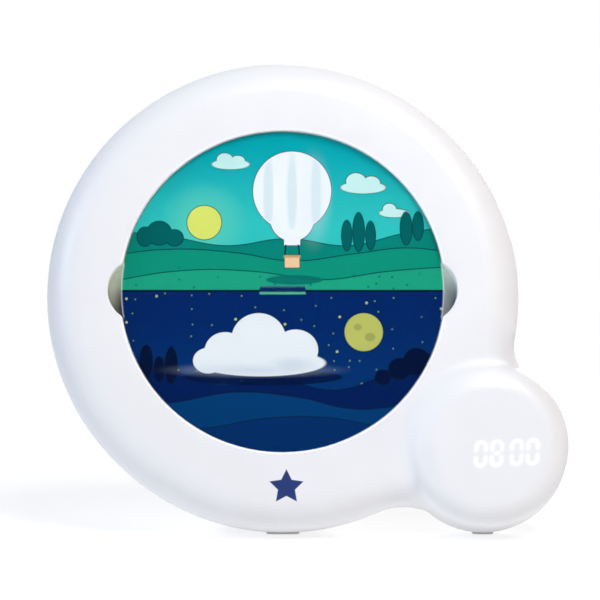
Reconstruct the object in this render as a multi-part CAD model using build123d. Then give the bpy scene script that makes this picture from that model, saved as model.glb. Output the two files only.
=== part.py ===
import math
import os

from build123d import *

# A sleep trainer clock: a white ring with a lit day and night picture behind a pull-out clear cover, and a
# round pod at the lower right whose digits shine through the plastic.
# It is drawn upright, in millimetres: x to the right, z up, and depths counted forward from the joint of the
# two housing shells, so a negative depth lies behind that joint. Each finished piece is then leaned back and
# set on its feet. The origin is the middle of the ring foot's flat face.

# Housing outline, seen from the front
window_radius = 68.0
ring_band = 32.0
pod_radius = 35.4
pod_place_share = 0.851
neck_side_radius = 17.0
neck_base_radius = 28.0
neck_step = 1.0
valley_radius = 8.0

# Housing section
front_depth = 20.0
front_round = 15.0
pod_rise = 7.0
pod_round = 10.5
pod_draft = 5.0
rear_depth = 21.0
rear_round = 10.0
wall = 2.2
lip_thickness = 1.0
lip_height = 2.0

# Stance
lean = 10.0
foot_gap = 0.3
ring_foot_length = 14.0
pod_foot_length = 9.0
foot_width = 7.0
foot_thickness = 1.2
foot_corner = 3.0

# Clearances
fit_gap = 0.1
slide_gap = 0.3
pin_gap = 0.05
overrun = 5.0

# Window, finger notches and what stands in the window
lip_round = 0.8
notch_radius = 13.2
notch_bite = 5.2
notch_corner = 2.0
notch_depth = 10.5
well_wall = 1.8
ledge_width = 3.4
ledge_thickness = 2.0
cover_recess = 1.6
cover_thickness = 1.8
grip_length = 20.0
grip_height = 3.5
grip_rise = 0.9
rub_length = 33.0
rub_rise = 0.18
picture_inset = 0.1
picture_thickness = 0.5
picture_gap = 0.2
diffuser_thickness = 2.0
nail_groove = 1.2

# Light box behind the diffuser
light_box_depth = 15.3
light_box_wall = 1.6
ear_width = 7.0
ear_thickness = 2.0
ear_boss_radius = 3.2
ear_angles = (45, 135, 225, 315)
led_board_length = 84.0
led_board_height = 14.0
led_board_thickness = 1.2
led_board_z = 26.0
led_count = 6
led_pitch = 14.0
led_width = 3.5
led_height = 2.8
led_thickness = 1.0

# Screws
screw_radius = 1.4
screw_length = 12.0
screw_head_radius = 2.8
screw_head_height = 2.0
boss_radius = 3.6
boss_inset = 17.0
boss_angles = (52, 128, 196, 243, 309, 346)
well_radius = 3.2
well_seat = 4.0
small_screw_radius = 1.1
small_screw_length = 6.0
small_head_radius = 2.1
small_head_height = 1.5

# Display in the pod
display_x = 7.5
display_z = -4.0
display_wall = 1.2
guide_length = 30.0
guide_height = 14.0
guide_depth = 9.0
digit_count = 4
digit_height = 10.6
digit_width = 4.9
digit_pitch = 6.4
digit_mid_gap = 1.3
segment_width = 1.1
segment_gap = 0.3
display_board_length = 34.0
display_board_height = 26.0
display_board_thickness = 1.2
display_post_radius = 2.4
display_post_z = 10.0
display_led_thickness = 0.5

# Main board and buttons in the back of the pod
main_board_radius = 25.5
main_board_thickness = 1.6
main_board_stand = 8.2
board_post_radius = 3.0
board_post_edge = 4.5
board_post_angles = (45, 135, 225, 315)
chip_width = 9.0
chip_thickness = 1.4
crystal_length = 8.0
crystal_width = 3.0
crystal_thickness = 2.4
chip_spacing = 11.0
button_place = 13.0
button_radius = 4.5
button_proud = 1.6
button_edge = 0.9
button_flange = 1.3
button_flange_thickness = 1.2
button_stem_radius = 1.8
button_travel = 0.8
switch_width = 6.0
switch_thickness = 3.4
plunger_radius = 1.7
plunger_height = 1.0

# Battery bay, cells and door
cell_count = 3
cell_radius = 7.25
cell_length = 50.5
cell_nub_radius = 2.75
cell_nub_length = 1.0
cell_spacing = 0.5
contact_thickness = 0.5
contact_width = 10.0
spring_room = 4.0
spring_width = 5.0
bay_wall = 2.4
bay_floor = 1.8
bay_rise = 12.5
door_ledge = 1.2
door_corner = 2.0
door_ear_radius = 6.0
door_ear_reach = 5.0
door_ear_seat = 1.8
door_ear_depth = 7.0
tongue_width = 8.0
tongue_thickness = 1.4
tongue_length = 2.0
tongue_root = 3.0
tongue_place_share = 0.3
door_screw_reach = 3.0
door_screw_sink = 1.0

# Support leg
leg_width = 44.0
leg_length = 44.0
leg_thickness = 4.0
leg_corner = 5.0
leg_hinge_height = 18.0
leg_hinge_bury = 0.2
leg_barrel_radius = 3.6
leg_side_gap = 0.5
leg_pin_radius = 1.5
leg_pin_hold = 3.0
leg_pin_boss = 4.4
leg_bar_radius = 2.6
leg_bar_length = 36.0
recess_wall = 1.8
recess_clear = 1.0
recess_below = 5.0
recess_finger = 7.0
recess_corner = 4.0

# Speaker beside the battery bay
speaker_radius = 18.0
speaker_flange = 2.5
speaker_flange_thickness = 1.2
speaker_depth = 6.0
speaker_magnet_radius = 9.0
speaker_magnet_depth = 5.0
speaker_gasket = 0.8
speaker_sheet = 0.8
speaker_cone_depth = 3.0
speaker_rib = 1.4
speaker_rib_height = 5.0
speaker_beside = 9.0
grille_hole_radius = 1.3
grille_pitch = 4.4
grille_rings = 2

# Power switch and socket on the other side of the bay
power_beside = 26.0
power_switch_rise = 14.0
power_switch_length = 12.0
power_switch_width = 6.0
power_switch_depth = 5.0
power_knob_length = 4.6
power_knob_width = 3.4
power_knob_proud = 0.8
power_knob_travel = 4.0
socket_drop = 14.0
socket_width = 9.0
socket_depth = 12.0
socket_barrel_radius = 3.8
socket_bore_radius = 2.75
socket_bore_depth = 9.5
socket_pin_radius = 1.0
socket_pin_length = 8.5

# Depths and places that follow from the sizes above
ring_radius = window_radius + ring_band
pod_x = pod_place_share * ring_radius
pod_z = -(ring_radius - pod_radius)
pod_front = front_depth + pod_rise
rear_inner = rear_depth - wall
cover_front = front_depth - cover_recess
cover_back = cover_front - cover_thickness
picture_back = cover_back - picture_thickness
diffuser_front = picture_back - picture_gap
diffuser_back = diffuser_front - diffuser_thickness
ledge_back = diffuser_back - ledge_thickness
notch_floor = front_depth - notch_depth
notch_x = window_radius + notch_bite - notch_radius
cover_radius = window_radius - slide_gap
picture_radius = cover_radius - picture_inset
diffuser_radius = cover_radius - nail_groove
ledge_radius = window_radius - ledge_width
light_box_radius = ledge_radius - slide_gap
light_box_back = diffuser_back - light_box_depth
light_box_floor = light_box_back + light_box_wall
ear_radius = window_radius + well_wall + ear_boss_radius + slide_gap
boss_place = ring_radius - boss_inset

guide_front = pod_front - display_wall - fit_gap
guide_back = guide_front - guide_depth
display_board_back = guide_back - display_board_thickness
board_rear = -(rear_inner - main_board_stand)
board_front = board_rear + main_board_thickness
board_post_place = main_board_radius - board_post_edge
plunger_tip = board_rear - switch_thickness - plunger_height
stem_tip = plunger_tip - button_travel - fit_gap

leg_hinge_z = -(ring_radius - leg_hinge_height)
leg_hinge_y = rear_depth - leg_thickness + leg_hinge_bury
leg_middle = leg_thickness / 2 - leg_hinge_bury
recess_width = leg_width + 2 * leg_side_gap
recess_low = leg_hinge_z - recess_below
recess_top = leg_hinge_z + leg_length + leg_bar_radius + recess_finger
recess_floor = -(rear_depth - leg_thickness - recess_clear)
trough_floor = -(leg_hinge_y - leg_barrel_radius - slide_gap)
trough_top = leg_hinge_z + leg_barrel_radius + recess_clear

cell_pitch = 2 * cell_radius + cell_spacing
bay_length = cell_length + contact_thickness + spring_room
bay_height = cell_count * cell_pitch
bay_depth = 2 * cell_radius + cell_spacing
opening_length = bay_length + 2 * door_ledge
opening_height = bay_height + 2 * door_ledge
bay_z = recess_top + bay_rise + bay_height / 2
door_low = bay_z - opening_height / 2 + slide_gap
door_ear_z = bay_z + opening_height / 2 + door_ear_reach
bay_back = -(rear_inner - bay_depth)
cell_depth = -(rear_inner - bay_depth / 2)
door_inner = -(rear_inner + fit_gap)
door_screw_seat = -(rear_depth - door_screw_sink)
tongue_back = -(rear_inner - fit_gap)

bay_half = bay_length / 2 + bay_wall
speaker_x = -(bay_half + speaker_beside + speaker_radius)
power_x = bay_half + power_beside
power_z = bay_z + power_switch_rise
socket_z = bay_z - socket_drop

# Stance that follows: the heel is the middle of the rear edge's rounding, which touches down first
heel_y = rear_depth - rear_round
heel_z = -(ring_radius - rear_round)
heel_height = foot_gap + rear_round
sin_lean = math.sin(math.radians(lean))
cos_lean = math.cos(math.radians(lean))
hinge_height = heel_height - (leg_hinge_y - heel_y) * sin_lean + (leg_hinge_z - heel_z) * cos_lean
leg_reach = math.hypot(leg_length, leg_middle)
leg_droop = math.asin((hinge_height - leg_bar_radius) / leg_reach) - math.atan2(leg_middle, leg_length)
leg_swing = 90 - lean + math.degrees(leg_droop)

standing = Pos(0, 0, heel_height) * Rot(X=-lean) * Pos(0, -heel_y, -heel_z)
leg_open = Pos(0, leg_hinge_y, leg_hinge_z) * Rot(X=-leg_swing) * Pos(0, -leg_hinge_y, -leg_hinge_z)


# Drawing helpers


def slab(face, back, front):
    """A flat outline in x and z made solid between two depths."""
    return extrude(Plane.XZ.offset(back) * face, front - back)


def post(radius, x, z, back, front):
    return slab(Pos(x, z) * Circle(radius), back, front)


def block(length, height, x, z, back, front):
    return slab(Pos(x, z) * Rectangle(length, height), back, front)


def rod(radius, length, y, z):
    """A round bar along x, centred on x = 0."""
    return extrude(Plane.YZ.offset(-length / 2) * Pos(y, z) * Circle(radius), length)


def around(radius, angles):
    """Points at the given angles on a circle."""
    for angle in angles:
        yield radius * math.cos(math.radians(angle)), radius * math.sin(math.radians(angle))


def front_edges(solid):
    return solid.faces().sort_by(Axis.Y)[0].edges()


def rear_edges(solid):
    return solid.faces().sort_by(Axis.Y)[-1].edges()


def screw(shank, length, head, head_height, x, z, seat, toward):
    """A pan-head screw with its head on the seat; toward is 1 where the shank runs forward, -1 where back."""
    ends = sorted((seat, seat + toward * length))
    caps = sorted((seat, seat - toward * head_height))
    return post(shank, x, z, *ends) + post(head, x, z, *caps)


# The two housing shells


def neck_centre(radius, side):
    """The middle of the arc that joins the ring to the pod, on one side of the line through both."""
    to_pod = Vector(pod_x, pod_z)
    from_ring = ring_radius + radius
    from_pod = pod_radius - neck_step + radius
    span = to_pod.length
    along = (from_ring**2 - from_pod**2 + span**2) / (2 * span)
    aside = math.sqrt(from_ring**2 - along**2)
    ahead = to_pod.normalized()
    return ahead * along + Vector(-ahead.Y, ahead.X) * aside * side


def outline(inset):
    """The ring and the pod's foot joined by two tangent neck arcs, drawn in by inset."""
    ring, pod = Vector(0, 0), Vector(pod_x, pod_z)
    ring_r = ring_radius - inset
    pod_r = pod_radius - neck_step - inset
    ahead = pod.normalized()
    upper = neck_centre(neck_side_radius, 1)
    lower = neck_centre(neck_base_radius, -1)

    def touch(centre, radius, neck):
        return centre + (neck - centre).normalized() * radius

    def neck_arc(start, end, neck, radius):
        middle = ((start - neck).normalized() + (end - neck).normalized()).normalized()
        return ThreePointArc(start, neck + middle * radius, end)

    ring_up, ring_low = touch(ring, ring_r, upper), touch(ring, ring_r, lower)
    pod_up, pod_low = touch(pod, pod_r, upper), touch(pod, pod_r, lower)
    return make_face(
        [
            ThreePointArc(ring_up, ring - ahead * ring_r, ring_low),
            neck_arc(ring_low, pod_low, lower, neck_base_radius + inset),
            ThreePointArc(pod_low, pod + ahead * pod_r, pod_up),
            neck_arc(pod_up, ring_up, upper, neck_side_radius + inset),
        ]
    )


def pod_disc(inset):
    return Pos(pod_x, pod_z) * Circle(pod_radius - inset)


def housing_profile(inset):
    """The section at the joint: the outline and the pod, with the two corners between them rounded."""
    shape = outline(inset) + pod_disc(inset)
    pod = Vector(pod_x, pod_z)
    corners = [v for v in shape.vertices() if abs((Vector(v) - pod).length - pod_radius + inset) < fit_gap]
    return fillet(corners, valley_radius + inset)


def front_form(inset):
    """The plate with its rounded edge and the pod, both in front of the joint, drawn in by inset."""
    plate = slab(outline(inset), 0, front_depth - inset)
    plate = fillet(front_edges(plate), front_round - inset)
    pod = extrude(Plane.XZ * pod_disc(inset), pod_front - inset, taper=pod_draft)
    pod = fillet(front_edges(pod), pod_round - inset)
    return plate, pod


def rear_form(inset):
    body = slab(housing_profile(inset), -(rear_depth - inset), 0)
    return fillet(rear_edges(body), rear_round - inset)


def notch_discs(grow):
    discs = Pos(notch_x, 0) * Circle(notch_radius + grow)
    return discs + Pos(-notch_x, 0) * Circle(notch_radius + grow)


def window_profile(grow):
    """The round window with its two finger notches, let out by grow."""
    shape = Circle(window_radius + grow) + notch_discs(grow)
    rim = window_radius + grow
    corners = [v for v in shape.vertices() if abs(Vector(v).length - rim) < fit_gap]
    return fillet(corners, max(notch_corner - grow, fit_gap))


def front_housing():
    plate, pod = front_form(0)
    body = plate + pod
    body = fillet(new_edges(plate, pod, combined=body), valley_radius)
    body -= slab(window_profile(0), diffuser_back, front_depth + overrun)
    rim = window_radius + notch_bite + lip_round
    at_front = [e for e in body.edges() if abs(e.center().Y + front_depth) < fit_gap]
    lip = [e for e in at_front if math.hypot(e.position_at(0.5).X, e.position_at(0.5).Z) < rim]
    body = fillet(lip, lip_round)

    plate, pod = front_form(wall)
    hollow = plate + pod
    hollow -= slab(window_profile(well_wall), ledge_back, front_depth)
    hollow -= slab(notch_discs(well_wall) - Circle(ledge_radius), notch_floor - well_wall, front_depth)
    for x, z in around(boss_place, boss_angles):
        hollow -= post(boss_radius, x, z, 0, pod_front)
    for x, z in around(ear_radius, ear_angles):
        hollow -= post(ear_boss_radius, x, z, ledge_back, pod_front)
    for side in (-1, 1):
        z = pod_z + display_z + side * display_post_z
        hollow -= post(display_post_radius, pod_x + display_x, z, guide_back, pod_front)
    body -= hollow

    body -= post(ledge_radius, 0, 0, -overrun, diffuser_back)
    pockets = notch_discs(0) - Circle(ledge_radius + well_wall)
    body -= slab(pockets, notch_floor, front_depth)
    for x, z in around(boss_place, boss_angles):
        body -= post(screw_radius, x, z, -overrun, screw_length - well_seat + fit_gap)
    for x, z in around(ear_radius, ear_angles):
        body -= post(small_screw_radius, x, z, ledge_back - overrun, ledge_back + small_screw_length)
    for side in (-1, 1):
        z = pod_z + display_z + side * display_post_z
        depth = guide_back + small_screw_length
        body -= post(small_screw_radius, pod_x + display_x, z, guide_back - overrun, depth)
    length, height = guide_length + 2 * fit_gap, guide_height + 2 * fit_gap
    body -= block(length, height, pod_x + display_x, pod_z + display_z, guide_back, guide_front + fit_gap)
    rebate = housing_profile(wall - lip_thickness) - housing_profile(wall + lip_thickness)
    return body - slab(rebate, 0, lip_height + fit_gap)


def door_outline(grow):
    """The battery door with its screw ear, let out by grow."""
    plate = RectangleRounded(opening_length + 2 * grow, opening_height + 2 * grow, door_corner + grow)
    ear = Pos(0, door_ear_z - bay_z) * Circle(door_ear_radius + grow)
    web_height = door_ear_z - bay_z
    web = Pos(0, web_height / 2) * Rectangle(2 * (door_ear_radius + grow), web_height)
    return Pos(0, bay_z) * (plate + ear + web)


def tongue_places():
    for side in (-1, 1):
        yield side * tongue_place_share * opening_length


def button_places():
    """The four buttons on the back of the pod, from the right, seen from the front."""
    for x, z in around(button_place, (0, 90, 180, 270)):
        yield pod_x + x, pod_z + z


def grille_holes():
    """Rings of holes in front of the speaker, six more in each ring."""
    yield speaker_x, bay_z
    for ring in range(1, grille_rings + 1):
        count = 6 * ring
        for x, z in around(ring * grille_pitch, [360 * k / count for k in range(count)]):
            yield speaker_x + x, bay_z + z


def rear_hollow():
    """The space inside the rear shell, less the walls, bosses and posts that stand in it."""
    hollow = rear_form(wall)
    length, height = bay_length + 2 * bay_wall, bay_height + 2 * bay_wall
    hollow -= block(length, height, 0, bay_z, -rear_depth, bay_back + bay_floor)
    seat = door_ear_radius + slide_gap + door_ear_seat
    hollow -= post(seat, 0, door_ear_z, -rear_depth, -(rear_inner - door_ear_depth))
    length = recess_width + 2 * recess_wall
    low, top = recess_low - recess_wall, recess_top + recess_wall
    hollow -= block(length, top - low, 0, (top + low) / 2, -rear_depth, recess_floor + recess_wall)
    top = trough_top + recess_wall
    hollow -= block(length, top - low, 0, (top + low) / 2, -rear_depth, trough_floor + recess_wall)
    hollow -= rod(leg_pin_boss, recess_width + 2 * (leg_pin_hold + recess_wall), leg_hinge_y, leg_hinge_z)
    for x, z in around(boss_place, boss_angles):
        hollow -= post(well_radius + recess_wall, x, z, -rear_depth, 0)
    for x, z in around(board_post_place, board_post_angles):
        hollow -= post(board_post_radius, pod_x + x, pod_z + z, -rear_depth, board_rear)
    rib = Circle(speaker_radius + slide_gap + speaker_rib) - Circle(speaker_radius + slide_gap)
    return hollow - slab(Pos(speaker_x, bay_z) * rib, -rear_depth, -(rear_inner - speaker_rib_height))


def rear_housing():
    body = rear_form(0) - rear_hollow()
    outside = -(rear_depth + overrun)
    body -= block(bay_length, bay_height, 0, bay_z, -rear_inner - fit_gap, bay_back)
    body -= slab(door_outline(0), outside, -rear_inner)
    for x in tongue_places():
        depth = tongue_thickness + tongue_length
        height = 2 * (bay_wall + tongue_length)
        z = bay_z - bay_height / 2
        body -= block(tongue_width + 2 * slide_gap, height, x, z, -rear_inner, -(rear_inner - depth))
    hole = small_screw_radius + slide_gap + fit_gap
    body -= post(hole, 0, door_ear_z, -rear_inner - fit_gap, -(rear_inner - door_ear_depth + recess_wall))

    height = recess_top - recess_low
    middle = (recess_top + recess_low) / 2
    recess = Pos(0, middle) * RectangleRounded(recess_width, height, recess_corner)
    body -= slab(recess, outside, recess_floor)
    height = trough_top - recess_low
    middle = (trough_top + recess_low) / 2
    body -= block(recess_width, height, 0, middle, outside, trough_floor)
    body -= rod(leg_pin_radius, recess_width + 2 * leg_pin_hold, leg_hinge_y, leg_hinge_z)

    for x, z in around(boss_place, boss_angles):
        body -= post(well_radius, x, z, outside, -well_seat)
        body -= post(screw_radius + slide_gap, x, z, outside, overrun)
    for x, z in around(board_post_place, board_post_angles):
        depth = board_rear - small_screw_length
        body -= post(small_screw_radius, pod_x + x, pod_z + z, depth, board_rear + overrun)
    for x, z in button_places():
        body -= post(button_radius + slide_gap, x, z, outside, -rear_inner + fit_gap)
    for x, z in grille_holes():
        body -= post(grille_hole_radius, x, z, outside, -rear_inner + fit_gap)
    slot = power_knob_length + power_knob_travel + 2 * slide_gap
    z = power_z + power_knob_travel / 2
    width = power_knob_width + 2 * slide_gap
    body -= block(width, slot, power_x, z, outside, -rear_inner + fit_gap)
    body -= post(socket_barrel_radius + fit_gap, power_x, socket_z, outside, -rear_inner + fit_gap)
    for x, length in ((0, ring_foot_length), (pod_x, pod_foot_length)):
        body -= standing.inverse() * foot(x, length, fit_gap)
    lip = housing_profile(wall - lip_thickness + fit_gap) - housing_profile(wall)
    return body + slab(lip, 0, lip_height)


def housing_screws():
    sizes = (screw_radius, screw_length, screw_head_radius, screw_head_height)
    return [screw(*sizes, x, z, -well_seat, 1) for x, z in around(boss_place, boss_angles)]


# What stands in the window


def clear_cover():
    """A clear plate with ribs at top and bottom that rub in the window, and a rounded bar at its middle."""
    cover = post(cover_radius, 0, 0, cover_back, cover_front)
    middle = cover_front - cover_thickness / 2
    rub = Circle(cover_radius + rub_rise) & Rectangle(rub_length, 2 * window_radius)
    cover += slab(rub, cover_back, middle)
    radius = ((grip_height / 2) ** 2 + grip_rise**2) / (2 * grip_rise)
    grip = rod(radius, grip_length, -(cover_front + grip_rise - radius), 0)
    return cover + (grip & block(grip_length, grip_height, 0, 0, middle, cover_front + grip_rise))


def picture_disc():
    return post(picture_radius, 0, 0, picture_back, cover_back)


def diffuser_disc():
    """It is smaller than the cover, so a fingernail in a notch gets behind the cover's edge."""
    return post(diffuser_radius, 0, 0, diffuser_back, diffuser_front)


def light_box():
    """A white tub with a wall across its middle, held by four ears behind the window's ledge."""
    tub = post(light_box_radius, 0, 0, light_box_back, diffuser_back)
    tub -= post(light_box_radius - light_box_wall, 0, 0, light_box_floor, diffuser_back + overrun)
    inner = 2 * (light_box_radius - light_box_wall / 2)
    tub += block(inner, light_box_wall, 0, 0, light_box_floor, diffuser_back)
    reach = ear_radius + ear_boss_radius - light_box_radius + light_box_wall
    place = light_box_radius - light_box_wall + reach / 2
    for angle in ear_angles:
        ear = Rot(Z=angle) * Pos(place, 0) * Rectangle(reach, ear_width)
        ear -= Circle(light_box_radius - light_box_wall / 2)
        tub += slab(ear, ledge_back - ear_thickness, ledge_back)
    for x, z in around(ear_radius, ear_angles):
        tub -= post(small_screw_radius + fit_gap, x, z, light_box_back, ledge_back + overrun)
    return tub


def light_box_screws():
    sizes = (small_screw_radius, small_screw_length, small_head_radius, small_head_height)
    seat = ledge_back - ear_thickness
    return [screw(*sizes, x, z, seat, 1) for x, z in around(ear_radius, ear_angles)]


def led_board(side):
    front = light_box_floor + led_board_thickness
    return block(led_board_length, led_board_height, 0, side * led_board_z, light_box_floor, front)


def led_row(side):
    back = light_box_floor + led_board_thickness
    row = []
    for place in range(led_count):
        x = (place - (led_count - 1) / 2) * led_pitch
        row.append(block(led_width, led_height, x, side * led_board_z, back, back + led_thickness))
    return row


# Display and main board in the pod


def display_cells():
    """The place and size of each of the seven bars of each digit, as x, z, length and height."""
    half = (digit_height - segment_width) / 2
    across = digit_width - segment_width
    bar = across - segment_width - segment_gap
    upright = half - segment_width - segment_gap
    for digit in range(digit_count):
        step = digit - (digit_count - 1) / 2
        gap = math.copysign(digit_mid_gap / 2, step)
        x = pod_x + display_x + step * digit_pitch + gap
        z = pod_z + display_z
        for level in (-1, 0, 1):
            yield x, z + level * half, bar, segment_width
        for side in (-1, 1):
            for level in (-1, 1):
                yield x + side * across / 2, z + level * half / 2, segment_width, upright


def display_guide():
    guide = block(guide_length, guide_height, pod_x + display_x, pod_z + display_z, guide_back, guide_front)
    for x, z, length, height in display_cells():
        guide -= block(length, height, x, z, guide_back - overrun, guide_front + overrun)
    return guide


def display_board():
    x, z = pod_x + display_x, pod_z + display_z
    board = block(display_board_length, display_board_height, x, z, display_board_back, guide_back)
    for side in (-1, 1):
        hole = small_screw_radius + fit_gap
        board -= post(hole, x, z + side * display_post_z, display_board_back - overrun, guide_back + overrun)
    return board


def display_leds():
    front = guide_back + display_led_thickness
    margin = 2 * fit_gap
    return [block(a - margin, b - margin, x, z, guide_back, front) for x, z, a, b in display_cells()]


def display_screws():
    sizes = (small_screw_radius, small_screw_length, small_head_radius, small_head_height)
    places = [pod_z + display_z + side * display_post_z for side in (-1, 1)]
    return [screw(*sizes, pod_x + display_x, z, display_board_back, 1) for z in places]


def main_board():
    board = post(main_board_radius, pod_x, pod_z, board_rear, board_front)
    for x, z in around(board_post_place, board_post_angles):
        hole = small_screw_radius + fit_gap
        board -= post(hole, pod_x + x, pod_z + z, board_rear - overrun, board_front + overrun)
    return board


def board_chips():
    chip = block(chip_width, chip_width, pod_x, pod_z, board_front, board_front + chip_thickness)
    top = board_front + crystal_thickness
    return [chip, block(crystal_length, crystal_width, pod_x, pod_z + chip_spacing, board_front, top)]


def board_screws():
    sizes = (small_screw_radius, small_screw_length, small_head_radius, small_head_height)
    places = around(board_post_place, board_post_angles)
    return [screw(*sizes, pod_x + x, pod_z + z, board_front, -1) for x, z in places]


def tactile_switches():
    switches = []
    for x, z in button_places():
        base = board_rear - switch_thickness
        body = block(switch_width, switch_width, x, z, base, board_rear)
        switches.append(body + post(plunger_radius, x, z, plunger_tip, base))
    return switches


def button(x, z):
    """A cap that stands out of the rear shell, a flange that keeps it in, and a stem over its switch."""
    outer = -(rear_depth + button_proud)
    flange_back = -(rear_inner - fit_gap)
    flange_front = flange_back + button_flange_thickness
    cap = post(button_radius, x, z, outer, flange_front)
    cap = fillet(rear_edges(cap), button_edge)
    cap += post(button_radius + button_flange, x, z, flange_back, flange_front)
    return cap + post(button_stem_radius, x, z, flange_front, stem_tip)


# Battery bay


def cell_places():
    """The z of each cell and the side that its raised end points to, turn about."""
    for place in range(cell_count):
        yield bay_z + (place - (cell_count - 1) / 2) * cell_pitch, 1 - 2 * (place % 2)


def batteries():
    cells = []
    for z, side in cell_places():
        nub_end = side * (bay_length / 2 - contact_thickness)
        shoulder = nub_end - side * cell_nub_length
        tail = nub_end - side * cell_length
        length = abs(shoulder - tail)
        can = Pos((shoulder + tail) / 2, 0, 0) * rod(cell_radius, length, -cell_depth, z)
        nub = Pos((nub_end + shoulder) / 2, 0, 0) * rod(cell_nub_radius, cell_nub_length, -cell_depth, z)
        cells.append(can + nub)
    return cells


def contact_plates():
    """A plate at both ends of every cell, against the bay's end walls."""
    plates = []
    half = contact_width / 2
    for z, _ in cell_places():
        for side in (-1, 1):
            x = side * (bay_length - contact_thickness) / 2
            plates.append(block(contact_thickness, contact_width, x, z, cell_depth - half, cell_depth + half))
    return plates


def contact_springs():
    """A folded leaf behind the flat end of every cell, from its plate to the cell."""
    springs = []
    half = spring_width / 2
    for z, side in cell_places():
        wall_x = -side * (bay_length / 2 - contact_thickness)
        bend = side * (spring_room - contact_thickness)
        leaf = side * contact_thickness
        points = [
            (wall_x, z - half),
            (wall_x + bend, z),
            (wall_x, z + half),
            (wall_x, z + half - contact_thickness),
            (wall_x + bend - leaf, z),
            (wall_x, z - half + contact_thickness),
        ]
        face = make_face(Polyline(*points, close=True))
        springs.append(slab(face, cell_depth - half, cell_depth + half))
    return springs


def battery_door():
    door = slab(door_outline(-slide_gap), -rear_depth, door_inner)
    for x in tongue_places():
        height = tongue_length + tongue_root
        z = door_low + tongue_root - height / 2
        door += block(tongue_width, height, x, z, tongue_back, tongue_back + tongue_thickness)
        door += block(tongue_width, tongue_root, x, door_low + tongue_root / 2, door_inner, tongue_back)
    door -= post(small_head_radius + fit_gap, 0, door_ear_z, -rear_depth - overrun, door_screw_seat)
    return door - post(small_screw_radius, 0, door_ear_z, -rear_depth, door_inner)


def door_screw():
    length = wall - door_screw_sink + door_screw_reach
    sizes = (small_screw_radius, length, small_head_radius, small_head_height)
    return screw(*sizes, 0, door_ear_z, door_screw_seat, 1)


# Support leg


def support_leg():
    """A flap on a barrel, drawn folded into its recess, with a bed for the rubber bar across its end."""
    back = -(leg_hinge_y - leg_hinge_bury + leg_thickness)
    front = -(leg_hinge_y - leg_hinge_bury)
    middle = leg_hinge_z + leg_length / 2
    flap = slab(Pos(0, middle) * Rectangle(leg_width, leg_length), back, front)
    ends = [e for e in flap.edges().filter_by(Axis.Y) if e.center().Z > middle]
    flap = fillet(ends, leg_corner)
    flap += rod(leg_barrel_radius, leg_width, leg_hinge_y, leg_hinge_z)
    flap -= rod(leg_pin_radius + pin_gap, leg_width + overrun, leg_hinge_y, leg_hinge_z)
    return flap - leg_bar()


def leg_bar():
    return rod(leg_bar_radius, leg_bar_length, leg_hinge_y + leg_middle, leg_hinge_z + leg_length)


def leg_pin():
    return rod(leg_pin_radius, recess_width + 2 * leg_pin_hold, leg_hinge_y, leg_hinge_z)


# Speaker, power switch and power socket


def turned(points, x, z):
    """A ring turned about the y axis through x and z, from a section drawn as radius and depth."""
    section = make_face(Polyline(*points, close=True))
    return Pos(x, 0, z) * (Rot(X=90) * revolve(Plane.XZ * section, Axis.Z))


def speaker_frame():
    inner = speaker_radius - speaker_flange
    back = -(rear_inner - speaker_gasket)
    flange = back + speaker_flange_thickness
    end = flange + speaker_depth
    points = [
        (speaker_radius, back),
        (speaker_radius, flange),
        (inner + speaker_sheet, flange),
        (speaker_magnet_radius + speaker_sheet, end),
        (0, end),
        (0, end - speaker_sheet),
        (speaker_magnet_radius, end - speaker_sheet),
        (inner, flange),
        (inner, back),
    ]
    return turned(points, speaker_x, bay_z)


def speaker_cone():
    inner = speaker_radius - speaker_flange
    back = -(rear_inner - speaker_gasket)
    deep = back + speaker_cone_depth
    hub = speaker_magnet_radius / 2
    points = [
        (inner, back),
        (inner, back + speaker_sheet),
        (hub, deep + speaker_sheet),
        (0, deep + speaker_sheet),
        (0, deep),
        (hub, deep),
    ]
    return turned(points, speaker_x, bay_z)


def speaker_magnet():
    back = -(rear_inner - speaker_gasket - speaker_flange_thickness - speaker_depth)
    return post(speaker_magnet_radius, speaker_x, bay_z, back, back + speaker_magnet_depth)


def speaker_gasket_ring():
    ring = Circle(speaker_radius) - Circle(speaker_radius - speaker_flange)
    return slab(Pos(speaker_x, bay_z) * ring, -rear_inner, -(rear_inner - speaker_gasket))


def power_switch():
    z = power_z + power_knob_travel / 2
    front = -(rear_inner - power_switch_depth)
    return block(power_switch_width, power_switch_length, power_x, z, -rear_inner, front)


def power_knob():
    outer = -(rear_depth + power_knob_proud)
    knob = block(power_knob_width, power_knob_length, power_x, power_z, outer, -(rear_inner + fit_gap))
    return fillet(rear_edges(knob), power_knob_proud / 2)


def power_socket():
    socket = block(socket_width, socket_width, power_x, socket_z, -rear_inner, -(rear_inner - socket_depth))
    socket += post(socket_barrel_radius, power_x, socket_z, -rear_depth, -rear_inner)
    bore_end = -(rear_depth - socket_bore_depth)
    return socket - post(socket_bore_radius, power_x, socket_z, -rear_depth, bore_end)


def socket_pin():
    deep = -(rear_depth - socket_bore_depth)
    return post(socket_pin_radius, power_x, socket_z, deep - socket_pin_length, deep)


# Rubber feet, drawn standing: flat pads, each in a shallow pocket of the rear housing


def foot(x, length, grow):
    outline = RectangleRounded(length + 2 * grow, foot_width + 2 * grow, foot_corner + grow)
    return extrude(Pos(x, 0) * outline, foot_thickness)


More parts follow.
